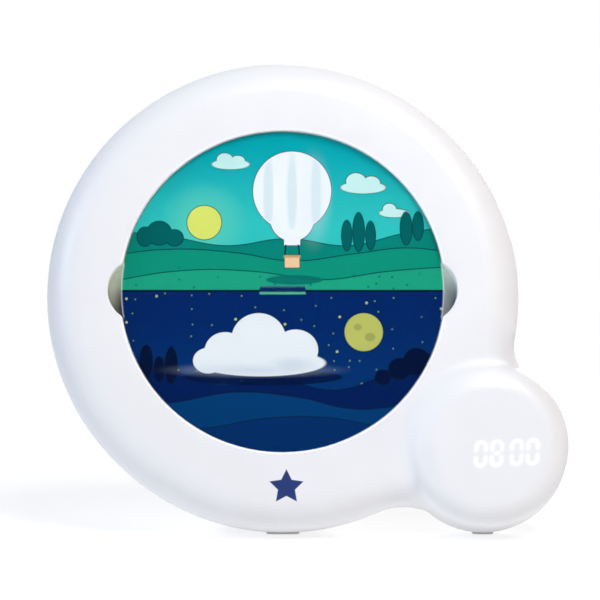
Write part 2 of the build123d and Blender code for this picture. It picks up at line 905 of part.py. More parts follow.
def pieces():
    """Every piece by name, at rest, in the clock's own upright frame."""
    yield "front_housing", front_housing()
    yield "rear_housing", rear_housing()
    yield "housing_screws", housing_screws()
    yield "clear_cover", clear_cover()
    yield "picture_disc", picture_disc()
    yield "diffuser_disc", diffuser_disc()
    yield "light_box", light_box()
    yield "light_box_screws", light_box_screws()
    for name, side in (("day", 1), ("night", -1)):
        yield name + "_led_board", led_board(side)
        yield name + "_leds", led_row(side)
    yield "display_light_guide", display_guide()
    yield "display_board", display_board()
    yield "display_leds", display_leds()
    yield "display_screws", display_screws()
    yield "main_board", main_board()
    yield "board_chips", board_chips()
    yield "board_screws", board_screws()
    yield "tactile_switches", tactile_switches()
    for name, (x, z) in zip(("plus", "set", "minus", "light"), button_places()):
        yield name + "_button", button(x, z)
    yield "batteries", batteries()
    yield "contact_plates", contact_plates()
    yield "contact_springs", contact_springs()
    yield "battery_door", battery_door()
    yield "door_screw", door_screw()
    yield "support_leg", leg_open * support_leg()
    yield "leg_bar", leg_open * leg_bar()
    yield "leg_pin", leg_pin()
    yield "speaker_frame", speaker_frame()
    yield "speaker_cone", speaker_cone()
    yield "speaker_magnet", speaker_magnet()
    yield "speaker_gasket", speaker_gasket_ring()
    yield "power_switch", power_switch()
    yield "power_knob", power_knob()
    yield "power_socket", power_socket()
    yield "socket_pin", socket_pin()


def place_of(x, y, z):
    """A point of the upright clock, where it stands, in metres."""
    point = (standing * Pos(x, y, z)).position
    return [round(value / 1000, 6) for value in point]


os.makedirs("parts", exist_ok=True)
for name, shape in pieces():
    solids = shape if isinstance(shape, list) else [shape]
    export_step(standing * Compound(children=solids), f"parts/{name}.step")
export_step(foot(0, ring_foot_length, 0), "parts/ring_foot.step")
export_step(foot(pod_x, pod_foot_length, 0), "parts/pod_foot.step")
print("leg hinge", place_of(0, leg_hinge_y, leg_hinge_z), "swing", round(leg_swing, 3))
print("door edge", place_of(0, rear_depth, door_low))
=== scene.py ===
# %% [markdown]
# # A sleep trainer clock
# This lesson dresses a child's bedside clock: a white ring round a backlit picture, and a round pod at the
# lower right whose digits shine through the plastic. The solids already have their sizes and places, so the
# work here is light, finishes, the printed film and the small details that the solids leave out.

import math

import bmesh
import bpy
from mathutils import Matrix, Vector


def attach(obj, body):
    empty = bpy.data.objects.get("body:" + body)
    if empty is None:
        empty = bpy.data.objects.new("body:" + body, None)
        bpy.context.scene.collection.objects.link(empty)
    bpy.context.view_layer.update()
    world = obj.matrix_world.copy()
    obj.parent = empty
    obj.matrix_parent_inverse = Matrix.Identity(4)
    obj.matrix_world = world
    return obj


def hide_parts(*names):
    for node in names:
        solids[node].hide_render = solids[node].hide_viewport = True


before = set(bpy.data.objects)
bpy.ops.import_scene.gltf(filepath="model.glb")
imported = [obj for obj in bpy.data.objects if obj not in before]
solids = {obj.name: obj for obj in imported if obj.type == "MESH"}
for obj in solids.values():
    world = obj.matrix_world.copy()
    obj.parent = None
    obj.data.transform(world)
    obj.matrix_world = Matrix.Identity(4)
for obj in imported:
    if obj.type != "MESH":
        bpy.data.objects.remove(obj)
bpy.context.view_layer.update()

# %% [markdown]
# ## Where things are
# The clock leans back on its leg, so a place on it is easier to give as if the clock stood upright: across,
# up from the middle of the window, and forward from the joint of its two shells. One matrix then leans that
# place back and sets it on the table. The same three numbers serve the meshes and the materials.

# %% Places on the leaning clock
MM = 0.001
LEAN = math.radians(10.0)
HEEL_BACK = 11.0 * MM
HEEL_DOWN = 90.0 * MM
HEEL_HEIGHT = 10.3 * MM
POD_PLACE = (85.1, -64.6)
lean_back = Matrix.Rotation(-LEAN, 4, "X")
stand = Matrix.Translation((0, 0, HEEL_HEIGHT)) @ lean_back @ Matrix.Translation((0, -HEEL_BACK, HEEL_DOWN))


def on_clock(across, up, forward):
    """A place given in millimetres on the upright clock, as a point of the leaning one in metres."""
    return stand @ Vector((across * MM, -forward * MM, up * MM))


def new_object(name, data):
    made = bpy.data.objects.new(name, data)
    bpy.context.scene.collection.objects.link(made)
    return made


WINDOW_MIDDLE = on_clock(0, 0, 0)
print("middle of the window:", tuple(round(value, 4) for value in WINDOW_MIDDLE))

# %% [markdown]
# ## Camera
# The photograph looks straight at the clock from about a metre away, a little above its middle. A long lens
# at that distance keeps the ring round. Nothing is shifted: the camera aims at the middle of the frame.

# %% Camera
CAMERA_AIM = Vector((7.31 * MM, 0, 99.48 * MM))
CAMERA_DISTANCE = 1.0
CAMERA_RISE = math.radians(2.1)
CAMERA_LENS = 141.24
SENSOR_WIDTH = 36.0
camera_data = bpy.data.cameras.new("camera")
camera_data.sensor_width = SENSOR_WIDTH
camera_data.lens = CAMERA_LENS
camera = new_object("camera", camera_data)
toward_camera = Vector((0, -math.cos(CAMERA_RISE), math.sin(CAMERA_RISE)))
camera.location = CAMERA_AIM + CAMERA_DISTANCE * toward_camera
camera.rotation_euler = (math.pi / 2 - CAMERA_RISE, 0, 0)
bpy.context.scene.camera = camera
print("camera at", tuple(round(value, 3) for value in camera.location))

# %% [markdown]
# ## Node helpers
# Every finish below is a small node tree. The first helpers add a node and feed its sockets, with values or
# with other sockets. The others do sums, lengths, eased ramps and mixes of colours.


# %% Helpers: nodes and sockets
def add_node(tree, kind, **settings):
    made = tree.nodes.new(kind)
    for name, value in settings.items():
        setattr(made, name, value)
    return made


def feed(tree, socket, value):
    if isinstance(value, bpy.types.NodeSocket):
        tree.links.new(value, socket)
    else:
        socket.default_value = value


def fill(tree, made, **values):
    """A node with sockets fed by name, where an underscore stands for a space."""
    for label, value in values.items():
        feed(tree, made.inputs[label.replace("_", " ")], value)
    return made


def in_order(tree, made, *values):
    """A node's first output, with its first sockets fed in turn."""
    for socket, value in zip(made.inputs, values):
        feed(tree, socket, value)
    return made.outputs[0]


def grouped(tree, group, **values):
    return fill(tree, add_node(tree, "ShaderNodeGroup", node_tree=group), **values).outputs


def new_finish(name):
    """An empty material, its tree and its Principled shader."""
    made = bpy.data.materials.new(name)
    made.use_nodes = True
    return made, made.node_tree, made.node_tree.nodes["Principled BSDF"]


print("socket helpers ready")


# %% Helpers: sums and places
def sum_of(tree, operation, *values):
    return in_order(tree, add_node(tree, "ShaderNodeMath", operation=operation), *values)


def chained(tree, operation, whole, *others):
    """One sum over any number of values."""
    for other in others:
        whole = sum_of(tree, operation, whole, other)
    return whole


def product(tree, *values):
    return chained(tree, "MULTIPLY", *values)


def minus(tree, value, other):
    return sum_of(tree, "SUBTRACT", value, other)


def ramp_between(tree, value, low, high, to_low=0.0, to_high=1.0):
    """A value eased from one pair of limits to another, and held at both ends."""
    made = add_node(tree, "ShaderNodeMapRange", interpolation_type="SMOOTHSTEP")
    return in_order(tree, made, value, low, high, to_low, to_high)


def vectors(tree, operation, *values):
    return in_order(tree, add_node(tree, "ShaderNodeVectorMath", operation=operation), *values)


def length_of(tree, vector):
    made = add_node(tree, "ShaderNodeVectorMath", operation="LENGTH")
    feed(tree, made.inputs[0], vector)
    return made.outputs["Value"]


def vector_of(tree, x, y, z=0.0):
    return in_order(tree, add_node(tree, "ShaderNodeCombineXYZ"), x, y, z)


def split(tree, vector):
    made = add_node(tree, "ShaderNodeSeparateXYZ")
    feed(tree, made.inputs[0], vector)
    return made.outputs


def object_place(tree):
    return add_node(tree, "ShaderNodeTexCoord").outputs["Object"]


def noise_of(tree, place, scale, detail=2.0):
    made = add_node(tree, "ShaderNodeTexNoise")
    return fill(tree, made, Vector=place, Scale=scale, Detail=detail).outputs["Fac"]


print("sum helpers ready")


# %% Helpers: colours
def shade(red, green, blue):
    """A colour as it reads on a screen, 0 to 255, as the linear values that shaders take."""
    steps = []
    for value in (red, green, blue):
        part = value / 255
        steps.append(part / 12.92 if part <= 0.04045 else ((part + 0.055) / 1.055) ** 2.4)
    return (*steps, 1.0)


def grey(level):
    return (level, level, level, 1.0)


def dimmed(colour, share):
    return tuple(value * share for value in colour[:3]) + (1.0,)


def mixed(tree, share, first, second, blend="MIX"):
    made = add_node(tree, "ShaderNodeMix", data_type="RGBA", blend_type=blend)
    for place, value in ((0, share), (6, first), (7, second)):
        feed(tree, made.inputs[place], value)
    return made.outputs[2]


def lay_over(tree, shader, label, mask, colour):
    """Another colour over what a shader's socket holds so far, where the mask is 1."""
    held = shader.inputs[label].links[0].from_socket
    feed(tree, shader.inputs[label], mixed(tree, mask, held, colour))


DARK = grey(0.0)
FULL = grey(1.0)
print("colour helpers ready")

# %% [markdown]
# ## Stage
# The clock is photographed on white. The floor is a pale diffuse sheet that keeps the clock's shadow. Away
# from the clock it turns into a plain white glow, so it runs into the white world behind without a line.
# The world is white to the eye. To the surfaces it is dimmer, cool at the left and warm at the right, and in
# a gloss it is dark towards the camera, as a studio is: that keeps the picture clear behind its cover.

# %% Floor
FLOOR_HALF = 4.0
FLOOR_TONE = 0.62
FLOOR_GLOW = 0.61
FLOOR_FILL = 0.31
FLOOR_FADE = (0.40, 1.10)
WORLD_LIGHT = 0.24
bpy.context.scene.view_settings.view_transform = "Standard"


def where_seen(tree, unseen, seen):
    """One value for rays that show the background itself, to the eye, in a gloss or through glass."""
    path = add_node(tree, "ShaderNodeLightPath").outputs
    rays = [path[f"Is {kind} Ray"] for kind in ("Camera", "Glossy", "Transmission")]
    return ramp_between(tree, chained(tree, "MAXIMUM", *rays), 0.0, 1.0, unseen, seen)


floor_mesh = bpy.data.meshes.new("floor")
corners = [(x * FLOOR_HALF, y * FLOOR_HALF, 0) for x, y in ((-1, -1), (1, -1), (1, 1), (-1, 1))]
floor_mesh.from_pydata(corners, [], [(0, 1, 2, 3)])
floor = new_object("floor", floor_mesh)
floor_finish, tree, shader = new_finish("floor_paper")
far = ramp_between(tree, length_of(tree, object_place(tree)), *FLOOR_FADE)
paper = mixed(tree, far, grey(FLOOR_TONE), DARK)
near_glow = where_seen(tree, FLOOR_FILL, FLOOR_GLOW)
far_glow = where_seen(tree, WORLD_LIGHT, 1.0)
glow = add_node(tree, "ShaderNodeMix", data_type="FLOAT")
for place, value in ((0, far), (2, near_glow), (3, far_glow)):
    feed(tree, glow.inputs[place], value)
fill(tree, shader, Base_Color=paper, Emission_Color=FULL, Emission_Strength=glow.outputs[0])
fill(tree, shader, Roughness=0.9, Specular_IOR_Level=0.0)
floor_mesh.materials.append(floor_finish)
print("floor", 2 * FLOOR_HALF, "m wide")

# %% World
COOL_SIDE = (0.80, 0.89, 1.0, 1)
WARM_SIDE = (0.76, 0.63, 0.58, 1)
SIDE_SPAN = (-0.9, 0.9)
ROOM_SPAN = (-0.25, 0.35)
DARK_ROOM = 0.03
world = bpy.data.worlds.new("studio")
bpy.context.scene.world = world
world.use_nodes = True
tree = world.node_tree
direction = split(tree, add_node(tree, "ShaderNodeTexCoord").outputs["Generated"])
sides = mixed(tree, ramp_between(tree, direction["X"], *SIDE_SPAN), COOL_SIDE, WARM_SIDE)
room = ramp_between(tree, direction["Y"], *ROOM_SPAN, DARK_ROOM, 1.0)
gloss = add_node(tree, "ShaderNodeLightPath").outputs["Is Glossy Ray"]
held_back = product(tree, gloss, minus(tree, 1.0, room))
strength = minus(tree, where_seen(tree, WORLD_LIGHT, 1.0), held_back)
tint = mixed(tree, where_seen(tree, 0.0, 1.0), sides, FULL)
fill(tree, tree.nodes["Background"], Color=tint, Strength=strength)
print("world light", WORLD_LIGHT)

# %% [markdown]
# ## Lamps
# Soft lamps give white plastic its slow shading. The main one is near, high at the right in front, so the
# ring is brightest there and fades towards its lower left. A cool one stands at the left and a warm one at
# the right. They give the ring's edges the faint blue and pink that separate white from white. One lamp
# behind lights the clock's back.

# %% Lamps
LAMP_AIM = Vector((0, 0, 0.1))


def soft_lamp(name, place, width, watts, colour):
    lamp = bpy.data.lights.new(name, "AREA")
    lamp.shape = "DISK"
    lamp.size = width
    lamp.energy = watts
    lamp.color = colour
    made = new_object(name, lamp)
    made.location = place
    made.rotation_euler = (LAMP_AIM - Vector(place)).to_track_quat("-Z", "Y").to_euler()


soft_lamp("main_lamp", (0.25, -0.53, 0.72), width=0.45, watts=5.3, colour=(1.0, 0.99, 0.98))
soft_lamp("cool_lamp", (-1.2, -0.6, 0.62), width=0.7, watts=6.6, colour=(0.60, 0.77, 1.0))
soft_lamp("warm_lamp", (1.4, -0.5, 0.4), width=0.7, watts=1.0, colour=(1.0, 0.62, 0.52))
soft_lamp("back_lamp", (0.4, 1.6, 0.6), width=0.9, watts=14.0, colour=(1.0, 1.0, 1.0))

# %% [markdown]
# ## Shared finish groups
# Three effects return in many finishes, so each is a shader group made once. *clock_place* gives a point's
# place on the upright clock in millimetres. *mould_grain* is the fine spark-eroded texture and slow tone of
# moulded plastic. *light_dust* is the thin dust that settles on faces that look up.

# %% Group: place on the upright clock
FLOAT = "NodeSocketFloat"
VECTOR = "NodeSocketVector"


def group_tree(name, inputs, outputs):
    """An empty shader group, what it is given and what it puts out."""
    tree = bpy.data.node_groups.new(name, "ShaderNodeTree")
    for label, value in inputs:
        tree.interface.new_socket(label, in_out="INPUT", socket_type=FLOAT).default_value = value
    for label, kind in outputs:
        tree.interface.new_socket(label, in_out="OUTPUT", socket_type=kind)
    return tree, add_node(tree, "NodeGroupInput").outputs, add_node(tree, "NodeGroupOutput").inputs


outs = [("Across", FLOAT), ("Up", FLOAT), ("Forward", FLOAT), ("Flat", VECTOR)]
clock_place, given, result = group_tree("clock_place", [("Middle Across", 0.0), ("Middle Up", 0.0)], outs)
tree = clock_place
place = object_place(tree)
upright = add_node(tree, "ShaderNodeMapping", vector_type="TEXTURE")
fill(tree, upright, Vector=place, Location=WINDOW_MIDDLE, Rotation=(-LEAN, 0, 0), Scale=(MM, MM, MM))
parts = split(tree, upright.outputs[0])
across = minus(tree, parts["X"], given["Middle Across"])
up = minus(tree, parts["Z"], given["Middle Up"])
feed(tree, result["Across"], across)
feed(tree, result["Up"], up)
feed(tree, result["Forward"], product(tree, parts["Y"], -1.0))
feed(tree, result["Flat"], vector_of(tree, across, up))


def place_from(tree, across=0.0, up=0.0):
    """Where a point is on the upright clock, counted from a place on it."""
    return grouped(tree, clock_place, Middle_Across=across, Middle_Up=up)


print("group:", clock_place.name)

# %% Group: grain of moulded plastic
GRAINS = [("Grain", 2400.0), ("Patches", 28.0)]
mould_grain, given, result = group_tree("mould_grain", GRAINS, [("Tone", FLOAT), ("Height", FLOAT)])
place = object_place(mould_grain)
feed(mould_grain, result["Height"], noise_of(mould_grain, place, given["Grain"]))
feed(mould_grain, result["Tone"], noise_of(mould_grain, place, given["Patches"], detail=3.0))
print("group:", mould_grain.name)

# %% Group: dust on faces that look up
DUST_AMOUNT = 0.04
DUST_FACING = (0.35, 0.95)
DUST_SPREAD = (0.42, 0.68)
light_dust, given, result = group_tree("light_dust", [("Amount", DUST_AMOUNT)], [("Mask", FLOAT)])
tree = light_dust
facing = split(tree, add_node(tree, "ShaderNodeNewGeometry").outputs["Normal"])
upward = ramp_between(tree, facing["Z"], *DUST_FACING)
specks = noise_of(tree, object_place(tree), 420.0, detail=5.0)
spread = ramp_between(tree, specks, *DUST_SPREAD)
feed(tree, result["Mask"], product(tree, upward, spread, given["Amount"]))
print("group:", light_dust.name)

# %% [markdown]
# ## Plastic finishes
# Moulded plastic is one colour with slight patches of tone, a fine grain that catches the light, and a little
# dust. One function makes them all, and each finish only gives its colour, gloss and depth of grain.

# %% Moulded plastic
DUST = shade(196, 192, 184)
PATCH_TONE = 0.93
PATCH_GLOSS = 0.05
GRAIN_STRENGTH = 0.35
WHITE = shade(243, 243, 245)


def moulded(name, colour, gloss, grain_depth=0.00002):
    """A plastic's material, its tree, its shader and the socket that holds its colour so far."""
    made, tree, shader = new_finish(name)
    grown = grouped(tree, mould_grain)
    dusty = grouped(tree, light_dust)
    toned = mixed(tree, grown["Tone"], dimmed(colour, PATCH_TONE), colour)
    toned = mixed(tree, dusty["Mask"], toned, DUST)
    rough = ramp_between(tree, grown["Tone"], 0.25, 0.75, gloss - PATCH_GLOSS, gloss + PATCH_GLOSS)
    rough = sum_of(tree, "ADD", rough, dusty["Mask"])
    bump = add_node(tree, "ShaderNodeBump")
    fill(tree, bump, Strength=GRAIN_STRENGTH, Distance=grain_depth, Height=grown["Height"])
    fill(tree, shader, Base_Color=toned, Roughness=rough, Normal=bump.outputs[0])
    return made, tree, shader, toned


print("white shell colour", tuple(round(value, 3) for value in WHITE))

# %% [markdown]
# ## White shells
# The two shells meet in a fine dark line round the clock's edge. It is under a third of a millimetre wide,
# so it is drawn in the finish, from the distance to the joint, and not cut into the mesh.

# %% Shell finish with its joint line
JOINT_HALF = 0.16
JOINT_SHARE = 0.7
JOINT_TONE = shade(120, 120, 124)
SHELL_GLOSS = 0.40


def shell(name):
    made, tree, shader, _ = moulded(name, WHITE, SHELL_GLOSS)
    away = sum_of(tree, "ABSOLUTE", place_from(tree)["Forward"])
    line = ramp_between(tree, away, JOINT_HALF * 2, JOINT_HALF, 0.0, JOINT_SHARE)
    lay_over(tree, shader, "Base Color", line, JOINT_TONE)
    return made, tree, shader


shell_finish, shell_nodes, shell_shader = shell("white_shell")
print("finish:", shell_finish.name)

# %% [markdown]
# ## Digits that shine through
# The digits are not printed: they are light that soaks through a thin place in the white pod, so their
# edges are soft and there is no frame round them. They are made as a glow in the front shell's own finish.
# A nought is a rounded frame, found by a distance: how far a point is from the frame's middle line. The
# row folds onto one digit first, so one frame serves all four, and a bar across makes the second an eight.

# %% Digits in the front shell
DIGITS_PLACE = (POD_PLACE[0] + 7.3, POD_PLACE[1] - 4.2)
DIGIT_PITCH = 6.56
DIGIT_MID_GAP = 0.83
DIGIT_HALF_WIDTH = 2.0
DIGIT_HALF_HEIGHT = 4.8
DIGIT_CORNER = 1.9
STROKE = (1.5, 0.0)
WAIST = (0.2, 1.7)
WAIST_LIGHT = 0.12
BAR_SPAN = (DIGIT_HALF_WIDTH, 0.2)
ROW_START = -0.4
ROW_RISE = 0.046
ROW_SLANT = 0.06
POD_FACE = 24.0
DIGIT_GLOW = 0.19

front_finish, tree, shader = shell("white_front_shell")
placed = place_from(tree, *DIGITS_PLACE)
risen = minus(tree, placed["Up"], product(tree, placed["Across"], ROW_RISE))
slanted = minus(tree, placed["Across"], product(tree, risen, ROW_SLANT))
from_middle = minus(tree, sum_of(tree, "ABSOLUTE", slanted), DIGIT_MID_GAP)
folded = sum_of(tree, "MODULO", sum_of(tree, "MAXIMUM", from_middle, 0.0), DIGIT_PITCH)
side = sum_of(tree, "ABSOLUTE", minus(tree, folded, DIGIT_PITCH / 2))
height = sum_of(tree, "ABSOLUTE", risen)
past_side = minus(tree, side, DIGIT_HALF_WIDTH - DIGIT_CORNER)
past_top = minus(tree, height, DIGIT_HALF_HEIGHT - DIGIT_CORNER)
outside = [sum_of(tree, "MAXIMUM", past, 0.0) for past in (past_side, past_top)]
reach = length_of(tree, vector_of(tree, *outside))
inside = sum_of(tree, "MINIMUM", sum_of(tree, "MAXIMUM", past_side, past_top), 0.0)
from_frame = minus(tree, sum_of(tree, "ADD", reach, inside), DIGIT_CORNER)
stroke = ramp_between(tree, sum_of(tree, "ABSOLUTE", from_frame), *STROKE)
noughts = product(tree, stroke, ramp_between(tree, height, *WAIST, WAIST_LIGHT, 1.0))
in_eight = sum_of(tree, "COMPARE", slanted, -(DIGIT_MID_GAP + DIGIT_PITCH / 2), DIGIT_PITCH / 2)
bar = ramp_between(tree, height, *STROKE)
eight = product(tree, bar, ramp_between(tree, side, *BAR_SPAN), in_eight)
lit = sum_of(tree, "MAXIMUM", noughts, eight)
on_row = sum_of(tree, "LESS_THAN", from_middle, 2 * DIGIT_PITCH)
past_start = sum_of(tree, "GREATER_THAN", from_middle, ROW_START)
on_face = sum_of(tree, "GREATER_THAN", placed["Forward"], POD_FACE)
lit = product(tree, lit, on_row, past_start, on_face)
fill(tree, shader, Emission_Color=mixed(tree, lit, DARK, FULL), Emission_Strength=DIGIT_GLOW)
print("finish:", front_finish.name, "with", len(tree.nodes), "nodes")

# %% [markdown]
# ## A crowned ring
# The ring's face is not quite flat: it falls away towards the window. A fall of about a millimetre is too
# little to see in outline, but it changes the light across the band, so it is a bump on top of the grain.
# It fades out round the pod, whose face is flat. Where the pod rises out of the ring the moulding is softer
# than the solid's own rounding, so the normals there lean towards one slow slope.

# %% Crown and blend of the front shell
CROWN_TOP = 86.0
CROWN_RADIUS = 240.0
POD_FADE = (44.0, 62.0)
BLEND_INSIDE = (17.0, 21.0)
BLEND_OUTSIDE = (58.0, 44.0)
BLEND_NEAR = (106.0, 93.0)
BLEND_LOW = (-92.0, -70.0)
BLEND_RISE = (20.0, 26.0)
BLEND_FOOT = (37.0, 31.0)
BLEND_SLOPE = 0.45
BLEND_SHARE = 2.6

placed = place_from(tree)
reach = length_of(tree, placed["Flat"])
on_pod = place_from(tree, *POD_PLACE)
from_pod = length_of(tree, on_pod["Flat"])
short = sum_of(tree, "MAXIMUM", minus(tree, CROWN_TOP, reach), 0.0)
fall = product(tree, short, short, -MM / (2 * CROWN_RADIUS))
fall = product(tree, fall, ramp_between(tree, from_pod, *POD_FADE))
blend = ramp_between(tree, from_pod, *BLEND_INSIDE)
for value, limits in ((from_pod, BLEND_OUTSIDE), (reach, BLEND_NEAR), (placed["Up"], BLEND_LOW)):
    blend = product(tree, blend, ramp_between(tree, value, *limits))
slope = ramp_between(tree, from_pod, *BLEND_RISE, 0.0, BLEND_SLOPE)
slope = product(tree, slope, ramp_between(tree, from_pod, *BLEND_FOOT))
slope = sum_of(tree, "DIVIDE", slope, from_pod)
aside = product(tree, on_pod["Across"], slope)
above = product(tree, on_pod["Up"], slope)
toward = sum_of(tree, "MULTIPLY_ADD", above, math.sin(LEAN), -math.cos(LEAN))
skyward = sum_of(tree, "MULTIPLY_ADD", above, math.cos(LEAN), math.sin(LEAN))
sloped = vector_of(tree, aside, toward, skyward)
share = product(tree, blend, BLEND_SHARE)
leaned = add_node(tree, "ShaderNodeVectorMath", operation="SCALE")
feed(tree, leaned.inputs[0], sloped)
feed(tree, leaned.inputs["Scale"], share)
own = add_node(tree, "ShaderNodeNewGeometry").outputs["Normal"]
eased = vectors(tree, "NORMALIZE", vectors(tree, "ADD", own, leaned.outputs[0]))
grain = shader.inputs["Normal"].links[0].from_node
crown = add_node(tree, "ShaderNodeBump")
fill(tree, grain, Normal=eased)
fill(tree, crown, Strength=1.0, Distance=1.0, Height=fall, Normal=grain.outputs[0])
fill(tree, shader, Normal=crown.outputs[0])
print("crown and blend added,", len(tree.nodes), "nodes")

# %% [markdown]
# ## Pockets and lip
# The pockets behind the cover's edge are matt white shell, painted grey for the shade deep in them and
# painted darker towards their lower end. A painted glow in the pockets and along the window's lip stands for
# the light from behind the picture.

# %% Pockets and lip of the front shell
POCKET_REACH = (67.9, 74.0)
POCKET_HALF = 13.0
POCKET_FORWARD = (19.3, 18.8)
POCKET_SHADE_SPAN = (-10.0, 10.0)
POCKET_LOW_SHADE = 0.4
PAINTED_GLOW_SPAN = (-4.0, 10.0)
LEFT_POCKET_SHADE = shade(206, 210, 192)
RIGHT_POCKET_SHADE = shade(216, 226, 232)
PAINTED_POCKET_GLOW = (0.90, 1.0, 0.84, 1)
PAINTED_LIP_GLOW = grey(0.8)
LIP_REACH = (69.1, 68.5)
LIP_FORWARD = (18.6, 19.2)

# Painted shade: the pockets' grey, darker towards their lower end, is laid into the base colour.
past = sum_of(tree, "GREATER_THAN", reach, POCKET_REACH[0])
short = sum_of(tree, "LESS_THAN", reach, POCKET_REACH[1])
level = sum_of(tree, "LESS_THAN", sum_of(tree, "ABSOLUTE", placed["Up"]), POCKET_HALF)
pocket = product(tree, past, short, level, ramp_between(tree, placed["Forward"], *POCKET_FORWARD))
sides = mixed(tree, sum_of(tree, "GREATER_THAN", placed["Across"], 0.0), LEFT_POCKET_SHADE, RIGHT_POCKET_SHADE)
painted_shade_lower = ramp_between(tree, placed["Up"], *POCKET_SHADE_SPAN, POCKET_LOW_SHADE, 1.0)
lay_over(tree, shader, "Base Color", pocket, mixed(tree, 1.0, sides, painted_shade_lower, blend="MULTIPLY"))
# Painted glow in the upper pockets, standing for light from behind the picture.
painted_glow = product(tree, pocket, ramp_between(tree, placed["Up"], *PAINTED_GLOW_SPAN))
lay_over(tree, shader, "Emission Color", painted_glow, PAINTED_POCKET_GLOW)
# Painted highlight: a glow along the window's lip.
lip = ramp_between(tree, reach, *LIP_REACH)
lip = product(tree, lip, ramp_between(tree, placed["Forward"], *LIP_FORWARD))
lay_over(tree, shader, "Emission Color", lip, PAINTED_LIP_GLOW)
print("pockets and lip added,", len(tree.nodes), "nodes")

# %% [markdown]
# ## A printed star
# A small dark blue star is printed below the window. A star is one edge folded ten times: the angle round its
# middle runs to and fro between a tip and the next notch, and the distance to that one edge gives the mask.

# %% Star on the front shell
STAR_PLACE = (1.7, -82.4)
STAR_TIP = 7.4
STAR_NOTCH = 3.7
STAR_TURN = math.pi / 5
STAR_SOFT = 0.2
STAR_BLUE = shade(24, 52, 116)
placed = place_from(tree, *STAR_PLACE)
angle = sum_of(tree, "ARCTAN2", placed["Across"], placed["Up"])
folded = sum_of(tree, "PINGPONG", sum_of(tree, "ADD", angle, 2 * math.pi), STAR_TURN)
reach = length_of(tree, placed["Flat"])
along = product(tree, reach, sum_of(tree, "COSINE", folded))
aside = product(tree, reach, sum_of(tree, "SINE", folded))
edge = Vector((STAR_NOTCH * math.cos(STAR_TURN) - STAR_TIP, STAR_NOTCH * math.sin(STAR_TURN)))
outward = Vector((edge.y, -edge.x)).normalized()
beyond = sum_of(tree, "MULTIPLY_ADD", along, outward.x, product(tree, aside, outward.y))
border = outward.x * STAR_TIP
star = ramp_between(tree, beyond, border + STAR_SOFT, border - STAR_SOFT)
star = product(tree, star, sum_of(tree, "GREATER_THAN", placed["Forward"], 0.0))
lay_over(tree, shader, "Base Color", star, STAR_BLUE)
print("star laid,", len(tree.nodes), "nodes")

# %% [markdown]
# ## The printed film
# The picture is a translucent print lit from behind, day above and night below. It has flat shapes with soft
# edges, so it is painted as a stack of masks: ovals, bars and skylines, each laid over the colour so far. A
# skyline is a curve drawn through a few points. Everything is in millimetres from the middle of the window.

# %% A painter for printed shapes
OUTLINE = shade(6, 30, 48)
SKYLINE_SPAN = 140.0
SKYLINE_HALF = SKYLINE_SPAN / 2


